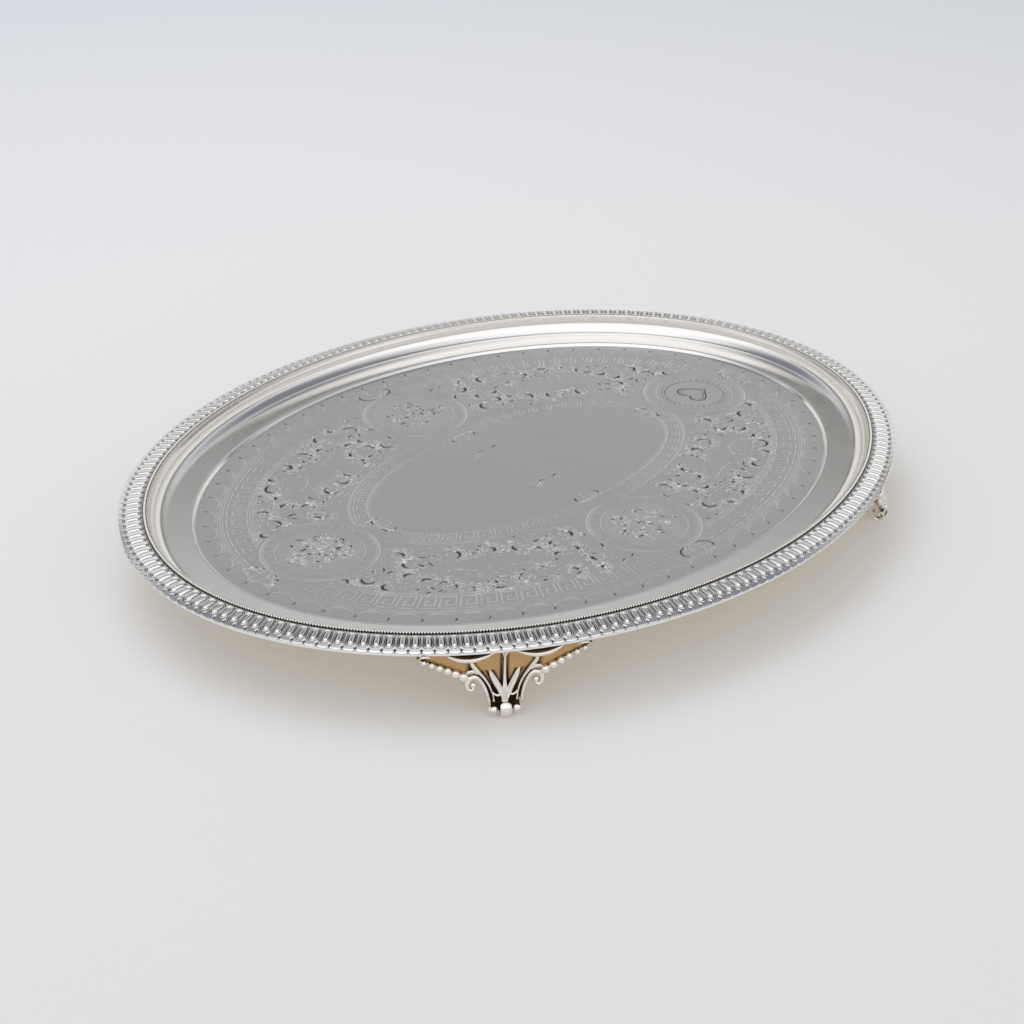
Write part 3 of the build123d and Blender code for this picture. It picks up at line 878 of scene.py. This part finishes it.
def border_relief(u, v):
    """Depth below the crown and how bright the metal is (dark for oxide and painted shade), at u along and v in
    from the edge of an egg's cell.
    """
    far = np.hypot(u, np.maximum(np.abs(v - EGG_MIDDLE) - EGG_HALF_LINE, 0)) - EGG_RADIUS
    dome = np.sqrt(np.clip(1 - ((far + EGG_RADIUS) / EGG_RADIUS) ** 2, 0, 1))
    height = np.where(far < 0, LOOPS[0][1] + 0.80 * dome, np.interp(far, *zip(*LOOPS)))
    # painted shade: the egg's sloping sides turn dark towards its foot
    clean_and_lit = np.where(far < 0, np.interp(dome, [0.1, 0.45], [0.0, 1]), np.interp(far, *zip(*LOOPS_CLEAN_AND_LIT)))
    # small holes between the loops, just above the scalloped edge, sunk and painted dark as shade and oxide
    hole_u = np.abs(np.abs(u) - EGG_PITCH / 2)
    hole = np.minimum(np.clip(1.3 - (hole_u / 0.50 + np.abs(v - 1.45) / 0.75), 0, 1) * 3, 1)
    height = height * (1 - hole) - 1.5 * hole
    clean_and_lit = clean_and_lit * (1 - hole)
    # rounded lobe at the very edge under each egg
    lobe = np.clip((0.8 - v) / 0.8, 0, 1)
    height = height * (1 - lobe) - 0.15 * lobe
    # a thin fillet beside the beads, sunk and half darkened as painted shade in the crease
    inside = np.clip((v - 9.15) / 0.3, 0, 1)
    height = height * (1 - inside) - 0.25 * inside
    return height, np.clip(clean_and_lit * (1 - inside * 0.5), 0, 1)


quarter_columns = EGGS // 4 * EGG_COLUMNS
column_t = np.append(even_parameters(EGGS * EGG_COLUMNS, BORDER_INSET / 2), 2 * pi)
v_rows = np.linspace(0, 1, BORDER_ROWS) * BORDER_INSET
edge_top = flange_top(FLANGE_EDGE)
border_back = np.array([(BORDER_INSET, flange_top(BORDER_INSET)), (FLANGE_EDGE, edge_top),
                        (0.55, edge_top - 0.05)])
for quarter, corner in enumerate(QUARTERS):
    index = np.arange(quarter_columns + 1) + quarter * quarter_columns
    t = column_t[index][:, None]
    cell = (index % EGG_COLUMNS) / EGG_COLUMNS - 0.5
    scallop = (SCALLOP_DEPTH * (np.abs(cell) * 2) ** 3)[:, None]
    v = v_rows[None, :] + scallop * np.clip(1 - v_rows[None, :] / SCALLOP_REACH, 0, 1)
    depth, clean_and_lit = border_relief(np.broadcast_to((cell * EGG_PITCH)[:, None], v.shape), v)
    z = np.maximum(np.interp(v, crown_x, crown_z) + depth, flange_top(v) + 0.02)
    back_v = border_back[None, :, 0] + np.array([[0, 0, 1.0]]) * scallop
    back_z = np.broadcast_to(border_back[None, :, 1], back_v.shape)
    lip_z = np.full(scallop.shape, edge_top + 0.25)
    sides = ((v, z), (back_v, back_z), (scallop, lip_z))
    parts = [np.stack([*outline(t, inset), height], axis=2) for inset, height in sides]
    points = np.concatenate(parts, axis=1)
    count, rows = points.shape[0], points.shape[1]
    # painted shade: the border's back and lip are a little darker
    clean_and_lit = np.concatenate([clean_and_lit, np.full((count, rows - clean_and_lit.shape[1]), 0.8)], axis=1)
    faces = grid_faces(count, rows, False, True)
    faces += [tuple(range(rows)), tuple(reversed(range((count - 1) * rows, count * rows)))]
    new_piece(f"{corner}_egg_border", points.reshape(-1, 3), faces, [border_silver],
              [f"{corner}_border_length"], sharp=60, relief=clean_and_lit.reshape(-1))


# ---------------------------------------------------------------- feet
# A foot is drawn in its own frame: u along the rim, o outwards from the outline, z up from the table.
BOW_RADIUS = 30.0
BOW_INSET = 5.6
BOW_HEIGHT = 17.5
PLATE_HALF = 1.0
FOOT_ANGLE = radians(51)
NECK = (3.4, 7.3)
SHOULDER = (10.9, 20.3)
STRAP_TOP = 20.2
WING_REACH = 31.0
BRACKET_TOP = 27.7
PLATE_FOOT = 7.0
LEAF_TOP = 18.6
PEARLS = 6
PEARL_LINE = ((13.3, 16.2), (16.5, 9.2))
TOE_MIDDLE = (-2.9, 2.65)
CURL_MIDDLE = (-3.5, 2.58)
CURL_SIDE = 4.1
OUTWARDS = (0, 1, 0)


def bow(z):
    """Where the middle of the bowed plate is, outwards from the outline (so always below zero)."""
    return -(BOW_INSET - BOW_RADIUS + np.sqrt(BOW_RADIUS**2 - (np.asarray(z, float) - BOW_HEIGHT) ** 2))


def plate_top(u):
    return 27.72 - 0.0004 * np.asarray(u, float) ** 2


def beside(distance, width):
    """How dark the metal is at a distance from a line, from 1 on it to 0 beyond about twice the width."""
    return np.exp(-((distance / width) ** 2))


class Casting:
    """Gathers the closed shells of one cast piece of a foot, in the foot's own frame."""

    def __init__(self):
        self.points, self.faces, self.kinds, self.relief = [], [], [], []

    def add(self, points, faces, kinds, relief):
        base = len(self.points)
        self.points += [tuple(p) for p in points]
        self.faces += [tuple(base + i for i in f) for f in faces]
        self.kinds += kinds
        self.relief += list(relief)

    def tube(self, path, half_side, half_up, up, sides=10, spans=5, low=0.15):
        """A tapering bar along a smooth path; up is the direction that its face looks in."""
        path = smooth_line(path, spans)
        count = len(path)
        place = np.linspace(0, 1, count)
        a = np.interp(place, np.linspace(0, 1, len(half_side)), half_side)
        b = np.interp(place, np.linspace(0, 1, len(half_up)), half_up)
        ahead = np.gradient(path, axis=0)
        ahead /= np.linalg.norm(ahead, axis=1)[:, None]
        side = np.cross(ahead, np.asarray(up, float))
        side /= np.linalg.norm(side, axis=1)[:, None]
        face = np.cross(side, ahead)
        turn = np.arange(sides) * 2 * pi / sides
        ring = (
            path[:, None, :]
            + side[:, None, :] * (a[:, None] * np.cos(turn))[:, :, None]
            + face[:, None, :] * (b[:, None] * np.sin(turn))[:, :, None]
        )
        # painted shade: the bar's side turned away from up is darker, down to low
        relief = np.tile(np.clip(0.55 + 0.85 * np.sin(turn), low, 1), count)
        faces = grid_faces(count, sides, False, True)
        faces += [tuple(range(sides)), tuple(reversed(range((count - 1) * sides, count * sides)))]
        self.add(ring.reshape(-1, 3), faces, [0] * len(faces), relief)

    def bar(self, hand, line, proud, half_side, half_up, **options):
        """A tube along (u, z) points on the face of the plate, proud of it by some millimetres."""
        path = [(hand * u, float(bow(z)) + PLATE_HALF + proud, z) for u, z in line]
        self.tube(path, half_side, half_up, OUTWARDS, **options)

    def ball(self, centre, radius, squash=(1, 1, 1), rings=8, sides=14):
        # painted shade: the ball's lowest point is darker, its top a little
        points, relief = [(0, 0, 1)], [0.9]
        for i in range(1, rings):
            for j in range(sides):
                tilt, turn = pi * i / rings, 2 * pi * j / sides
                points.append((sin(tilt) * cos(turn), sin(tilt) * sin(turn), cos(tilt)))
                relief.append(1.0)
        points.append((0, 0, -1))
        relief.append(0.6)
        points = np.array(points) * radius * np.array(squash) + np.array(centre)
        faces = [(0, 1 + j, 1 + (j + 1) % sides) for j in range(sides)]
        for i in range(rings - 2):
            for j in range(sides):
                a, b = 1 + i * sides, 1 + (i + 1) * sides
                faces.append((a + j, b + j, b + (j + 1) % sides, a + (j + 1) % sides))
        last, base = len(points) - 1, 1 + (rings - 2) * sides
        faces += [(base + (j + 1) % sides, base + j, last) for j in range(sides)]
        self.add(points, faces, [0] * len(faces), relief)

    def plate(self, columns, rows, place, front, clean_and_lit):
        """A bowed plate: place gives (u, z) from 0..1 shares, front the relief of its face, and the last
        function the brightness of its face, dark for oxide and painted shade.
        """
        s, r = np.meshgrid(np.linspace(0, 1, columns), np.linspace(0, 1, rows), indexing="ij")
        u, z = place(s, r)
        middle = bow(z)
        face = np.stack([u, middle + PLATE_HALF + front(u, z), z], axis=2).reshape(-1, 3)
        rear = np.stack([u, middle - PLATE_HALF, z], axis=2).reshape(-1, 3)
        n = columns * rows
        faces = grid_faces(columns, rows, False, False)
        edge = [i * rows for i in range(columns)]
        edge += [(columns - 1) * rows + j for j in range(1, rows)]
        edge += [i * rows + rows - 1 for i in range(columns - 2, -1, -1)]
        edge += list(range(rows - 2, 0, -1))
        plain = [tuple(n + i for i in reversed(f)) for f in faces]
        plain += [(b, a, n + a, n + b) for a, b in zip(edge, edge[1:] + edge[:1])]
        # painted shade: the plate's back and edges are darker
        relief = np.concatenate([clean_and_lit(u, z).reshape(-1), np.full(n, 0.7)])
        self.add(np.vstack([face, rear]), faces + plain, [1] * len(faces) + [0] * len(plain), relief)

    def cast(self, name, corner, replaced):
        side_x, side_y = QUARTERS[corner]
        x, y = side_x * A * cos(FOOT_ANGLE), side_y * B * sin(FOOT_ANGLE)
        out = Vector((x / A**2, y / B**2, 0)).normalized()
        world = np.array([x, y, 0])
        for along, axis in zip(np.array(self.points).T, (Vector((0, 0, 1)).cross(out), out, (0, 0, 1))):
            world = world + np.outer(along, axis)
        new_piece(f"{corner}_foot_{name}", world, self.faces, [foot_silver, foot_recess],
                  [f"{corner}_foot_{replaced}"], sharp=48, face_material=self.kinds, relief=self.relief)


shoulder = arc_through(NECK, (6.0, 13.4), SHOULDER, 16) + [(13.0, 29.5)]
shoulder_u, shoulder_z = np.array(shoulder).T
strap_outer = [(5.9, 7.3), (6.6, 9.6), (7.5, 11.9), (8.5, 13.9), (9.6, 15.2), (11.0, 17.0), (11.2, STRAP_TOP)]
outer_u, outer_z = np.array(strap_outer).T
wing_edge = [SHOULDER] + arc_through((13.3, 16.2), (21.4, 20.6), (29.8, 25.4), 16) + [(WING_REACH, 26.2)]
wing_u, wing_z = np.array(wing_edge).T
CRESCENT = [(3.2, 26.7), (7.0, 24.8), (11.5, 23.7), (16.0, 24.3), (19.3, 26.0), (20.8, 27.2)]
crescent_u, crescent_z = np.array(CRESCENT).T


def above_crescent(u, z):
    return np.clip((z - np.interp(np.abs(u), crescent_u, crescent_z, left=40, right=40)) / 0.5, 0, 1)


def bracket_half(z):
    return np.interp(z, shoulder_z, shoulder_u)


def build_bracket():
    piece = Casting()

    def place(s, r):
        z = PLATE_FOOT + (BRACKET_TOP - PLATE_FOOT) * r
        u = (2 * s - 1) * bracket_half(z)
        return u, np.minimum(z, plate_top(u))

    def front(u, z):
        across = np.clip(np.abs(u) / bracket_half(z), 0, 1)
        lobes = -0.45 + 0.55 * np.sin(pi * across) ** 1.5 * np.clip((z - 9) / 10, 0, 1)
        return lobes - 0.8 * above_crescent(u, z)

    def clean_and_lit(u, z):
        # oxide and painted shade: dark along the creases beside the middle bar and the leaves, along the edges
        # and above the crescent; the face also gets darker towards the bottom
        off_leaf = np.abs(u) - np.interp(z, [7.7, 12, 15.5, LEAF_TOP], [0.9, 2.6, 4.1, 5.4])
        dark = beside(np.abs(u) - 1.15, 0.50) * 0.95
        dark = dark + beside(off_leaf - 1.15, 0.5) * (z < LEAF_TOP)
        dark = dark + beside(off_leaf + 1.15, 0.5) * (z < LEAF_TOP)
        dark = dark + beside(off_leaf - 2.7, 0.3) * (z < 18) * (z > 9) * 0.8
        dark = dark + beside(bracket_half(z) - np.abs(u), 1.0) * (z < 26)
        dark = dark + np.clip((12.5 - z) / 5, 0, 1) + 0.25 * np.clip((19 - z) / 6, 0, 1)
        return 1 - np.clip(dark + above_crescent(u, z), 0, 1)

    piece.plate(61, 56, place, front, clean_and_lit)
    piece.bar(1, [(0, 27.3), (0, 24), (0, 19), (0, 13.5), (0, 10.0), (0, 7.4)], 0.15,
              [0.65, 0.45, 0.52, 0.72, 1.15, 1.5], [0.8, 0.6, 0.75, 0.95, 1.2, 1.4])
    for hand in (-1, 1):
        # an outer leaf, a flare at the top and a small lobe at the neck
        piece.bar(hand, [(5.5, 18.9), (4.6, 16.6), (3.1, 13.4), (1.8, 10.6), (0.8, 7.8)], 0.1,
                  [0.05, 0.95, 1.3, 1.15, 0.8], [0.15, 0.8, 1.15, 1.2, 1.0])
        piece.bar(hand, [(2.0, 27.4), (1.1, 26.2), (0.35, 24.2), (0.15, 21.5)], 0.05,
                  [0.45, 0.4, 0.3, 0.1], [0.5, 0.45, 0.35, 0.1])
        piece.bar(hand, [(1.2, 9.2), (2.4, 8.6), (3.6, 8.9), (4.3, 9.9)], 0.2,
                  [0.3, 0.45, 0.4, 0.1], [0.4, 0.6, 0.5, 0.15])
    return piece


def build_strap(hand):
    piece = Casting()

    def place(s, r):
        z = PLATE_FOOT + (STRAP_TOP - PLATE_FOOT) * r
        inner, outer = bracket_half(z), np.interp(z, outer_z, outer_u)
        across = s if hand > 0 else 1 - s
        return hand * (inner + (np.maximum(outer, inner + 0.25) - inner) * across), z

    # painted shade with oxide: the plate behind the strap's bars is dark all over
    piece.plate(9, 34, place, lambda u, z: -0.35 + 0 * u, lambda u, z: 0 * u)
    piece.bar(hand, [(4.1, 6.6), (4.5, 9.2), (5.5, 12.2), (7.0, 15.0), (8.8, 17.5), (10.4, 19.6),
                     (11.6, 21.6),
                     (12.2, 24.2)], 0.05, [0.42, 0.45, 0.46, 0.52, 0.66, 0.85, 0.75, 0.3],
              [0.75, 0.75, 0.7, 0.75, 0.85, 0.8, 0.5, 0.2])
    piece.bar(hand, [(5.8, 6.6), (6.3, 9.0), (7.2, 11.7), (8.3, 13.9), (9.6, 15.6), (11.1, 16.2),
                     (12.8, 15.4),
                     (13.5, 13.5), (13.0, 11.8), (11.8, 11.3), (11.0, 12.1)], 0.0,
              [0.66, 0.66, 0.68, 0.72, 0.85, 1.0, 0.98, 0.85, 0.65, 0.35],
              [1.1, 1.05, 1.0, 1.0, 1.1, 1.2, 1.2, 1.1, 0.9, 0.5], low=0.3)
    for u, z in smooth_line([(5.0, 9.6), (5.9, 12.2), (7.1, 14.6), (8.8, 16.7)], 2):
        piece.ball((hand * u, float(bow(z)) + PLATE_HALF - 0.2, z), 0.26, rings=5, sides=8)
    piece.ball((hand * 11.3, float(bow(13.0)) + PLATE_HALF, 13.0), 1.2)
    piece.bar(hand, [(9.6, 17.2), (11.2, 18.4), (12.8, 18.3), (13.9, 17.6)], -0.1, [0.3, 0.75, 0.7, 0.2],
              [0.5, 0.8, 0.7, 0.3])
    return piece


def build_wing(hand):
    piece = Casting()

    def place(s, r):
        u = SHOULDER[0] + (WING_REACH - SHOULDER[0]) * (s if hand > 0 else 1 - s)
        low = np.interp(u, wing_u, wing_z)
        return hand * u, low + (plate_top(u) - low) * r

    def above_edge(u, z):
        return z - np.interp(np.abs(u), wing_u, wing_z)

    def front(u, z):
        return -0.55 + 0.35 * np.clip(above_edge(u, z) / 3, 0, 1) - 0.8 * above_crescent(u, z)

    def clean_and_lit(u, z):
        # oxide and painted shade: dark along the lower edge, above the crescent and beside the line at 12.3 mm
        edge = np.clip(1 - above_edge(u, z) / 2.3, 0, 1)
        return 1 - np.clip(edge * 1.2 + above_crescent(u, z) + beside(np.abs(u) - 12.3, 1.2), 0, 1)

    piece.plate(60, 22, place, front, clean_and_lit)
    piece.bar(hand, CRESCENT, 0.15, [0.1, 0.75, 1.0, 0.95, 0.6, 0.1], [0.3, 1.0, 1.25, 1.2, 0.8, 0.3],
              spans=7)
    (u_first, z_first), (u_run, z_run) = PEARL_LINE
    for k in range(PEARLS):
        along = k / (PEARLS - 1)
        u, z = u_first + u_run * (0.08 + 0.85 * along), z_first + z_run * (0.08 + 0.85 * along)
        piece.ball((hand * u, float(bow(z)) + 1.1, z - 0.3), 1.85 - 0.85 * along)
        if k < PEARLS - 1:
            piece.ball((hand * (u + 1.32), float(bow(z + 0.7)) + 0.5, z + 0.72), 0.32, rings=5, sides=8)
    piece.bar(hand, [(25.2, 26.2), (27.4, 27.0), (29.2, 27.1), (30.6, 26.3)], -0.1, [0.1, 0.4, 0.45, 0.15],
              [0.2, 0.6, 0.6, 0.3])
    return piece


def spiral(centre, radius, start, end, lead, steps=22, shrink=0.6):
    """A scroll seen from the side, as (o, z) points: a lead-in, then a spiral from start to end, in degrees."""
    shares = [k / steps for k in range(steps + 1)]
    return lead + [polar(centre, radius * (1 - shrink * s), radians(start + (end - start) * s))
                   for s in shares]


def build_toe():
    piece = Casting()
    roll = spiral(TOE_MIDDLE, 3.0, 95, -290, [(-4.1, 9.4), (-3.6, 8.0), (-3.3, 7.0)])
    piece.tube([(0, o, z) for o, z in roll], [0.9, 1.15, 1.5, 2.0] + [2.1] * 9 + [1.9, 1.7, 1.5],
               [0.8, 0.6] + [0.48] * 6 + [0.4, 0.34], (0, 1, 0.3), sides=14, spans=2, low=0.95)
    piece.ball((0, *TOE_MIDDLE), 1.0, squash=(2.15, 1, 1))
    for u in (-CURL_SIDE, CURL_SIDE):
        curl = spiral(CURL_MIDDLE, 2.5, 170, 520, [(-5.0, 8.2), (-5.6, 6.6), (-6.0, 5.0)])
        piece.tube([(u, o, z) for o, z in curl], [1.0, 1.2] + [1.3] * 6 + [1.1], [0.6] + [0.45] * 6 + [0.32],
                   (0, 0.001, 1), sides=12, spans=2, low=0.95)
        piece.ball((u, CURL_MIDDLE[0] - 0.1, CURL_MIDDLE[1] + 0.1), 0.85, squash=(1.5, 1, 1))

    def place(s, r):
        return (2 * s - 1) * (5.3 - 0.35 * r), 3.0 + (8.2 - 3.0) * r

    # painted shade with oxide: the neck plate behind the curls is dark all over
    piece.plate(13, 10, place, lambda u, z: -1.0 + 0 * u, lambda u, z: 0 * u)
    return piece


for corner in ("front_left", "front_right", "back_left", "back_right"):
    build_bracket().cast("palmette", corner, "bracket")
    build_toe().cast("scroll_toe", corner, "toe")
    for hand_name, hand in (("left", -1), ("right", 1)):
        build_strap(hand).cast(f"{hand_name}_scroll", corner, f"{hand_name}_strap")
        build_wing(hand).cast(f"{hand_name}_pearls", corner, f"{hand_name}_wing")


# ---------------------------------------------------------------- floor, lights and camera
FLOOR = 40.0
floor_mesh = bpy.data.meshes.new("floor")
floor_corners = [(-FLOOR, -FLOOR, 0), (FLOOR, -FLOOR, 0), (FLOOR, FLOOR, 0), (-FLOOR, FLOOR, 0)]
floor_mesh.from_pydata(floor_corners, [], [(0, 1, 2, 3)])
floor = bpy.data.objects.new("floor", floor_mesh)
bpy.context.scene.collection.objects.link(floor)
# painted light: pale paper that glows warm, standing in for warm bounce light in the shadow under the salver;
# the glow fades with the distance from the salver
paper, tree, paper_shader = new_material("floor_paper")
place = add_node(tree, "TexCoord").outputs["Object"]
distance = add_node(tree, "VectorMath", {0: place}, operation="LENGTH").outputs["Value"]
glow = add_ramp(tree, distance, [(0.35, (0.27, 0.23, 0.165)), (1.0, (0.21, 0.19, 0.16))])
feed(tree, paper_shader, {"Base Color": (0.42, 0.455, 0.52, 1), "Emission Color": glow,
                          "Emission Strength": 1.0,
                          "Roughness": 0.7, "Specular IOR Level": 0.2})
floor_mesh.materials.append(paper)

# the studio, as colours by the height of a direction: its far side is what the flat silver reflects in the
# photograph's view, and its near side is behind the photographer
NEAR_DIRECTION = (-0.692, -0.722, 0.0)
SIDE_BLEND = 0.35
SKY_STRENGTH = 0.9
ZENITH = (1.30, 1.31, 1.33)
FAR_SIDE = [
    (0.00, (0.62, 0.60, 0.57)),
    (0.20, (0.85, 0.84, 0.81)),
    (0.365, (0.95, 0.95, 0.93)),
    (0.385, (0.17, 0.17, 0.17)),
    (0.405, (0.17, 0.17, 0.17)),
    (0.43, (0.33, 0.325, 0.315)),
    (0.455, (0.40, 0.395, 0.39)),
    (0.54, (0.72, 0.73, 0.74)),
    (0.62, (0.48, 0.50, 0.54)),
    (0.70, (0.24, 0.255, 0.29)),
    (0.86, (0.24, 0.255, 0.29)),
    (0.95, (0.95, 0.96, 0.98)),
    (1.00, ZENITH),
]
NEAR_SIDE = [
    (0.00, (0.60, 0.56, 0.50)),
    (0.10, (0.80, 0.76, 0.70)),
    (0.20, (0.45, 0.44, 0.43)),
    (0.34, (1.20, 1.19, 1.17)),
    (1.00, ZENITH),
]
world = bpy.data.worlds.new("studio")
bpy.context.scene.world = world
world.use_nodes = True
tree = world.node_tree
way = add_node(tree, "TexCoord").outputs["Generated"]
height = add_node(tree, "SeparateXYZ", {"Vector": way}).outputs["Z"]
facing = add_node(tree, "VectorMath", {0: way, 1: NEAR_DIRECTION}, operation="DOT_PRODUCT").outputs["Value"]
share = add_node(tree, "MapRange", {"Value": facing, "From Min": -SIDE_BLEND, "From Max": SIDE_BLEND})
sides = {"A": add_ramp(tree, height, FAR_SIDE), "B": add_ramp(tree, height, NEAR_SIDE)}
sky = add_node(tree, "Mix", {"Factor": share.outputs["Result"], **sides}, data_type="RGBA").outputs["Result"]
feed(tree, tree.nodes["Background"], {"Color": sky, "Strength": SKY_STRENGTH})

SOFTBOX_PLACE = Vector((-0.1, 0.55, 1.5))
softbox = bpy.data.lights.new("overhead_softbox", "AREA")
softbox.shape = "RECTANGLE"
softbox.size, softbox.size_y = 1.6, 1.2
softbox.energy = 13
softbox.color = (0.98, 0.985, 1.0)
overhead = bpy.data.objects.new("overhead_softbox", softbox)
bpy.context.scene.collection.objects.link(overhead)
overhead.location = SOFTBOX_PLACE
overhead.rotation_euler = (-SOFTBOX_PLACE).to_track_quat("-Z", "Y").to_euler()
overhead.visible_glossy = False

# the camera stands where the photograph was taken from
ELEVATION = radians(28.108)
AZIMUTH = radians(-43.772)
ROLL = radians(0.5335)
DISTANCE = 4.1554 * A
SENSOR = 36
# the fitted focal length, as a share of the picture's width
FOCAL_SHARE = 1839 / 1024
LOOK_AT = Vector((-0.1806 * A, -0.1520 * A, FIELD_Z))
back = Vector((sin(AZIMUTH) * cos(ELEVATION), -cos(AZIMUTH) * cos(ELEVATION), sin(ELEVATION)))
camera = bpy.data.cameras.new("camera")
camera.lens = FOCAL_SHARE * SENSOR
camera.sensor_width = SENSOR
camera.clip_start = 0.01
camera_object = bpy.data.objects.new("camera", camera)
bpy.context.scene.collection.objects.link(camera_object)
right = Vector((0, 0, 1)).cross(back).normalized()
up = back.cross(right)
rolled_right = right * cos(ROLL) + up * sin(ROLL)
rolled_up = up * cos(ROLL) - right * sin(ROLL)
position = (LOOK_AT + back * DISTANCE) * MM
camera_object.matrix_world = Matrix((*zip(rolled_right, rolled_up, back, position), (0, 0, 0, 1)))
bpy.context.scene.camera = camera_object
bpy.context.scene.view_settings.view_transform = "Standard"
bpy.context.scene.view_settings.look = "None"
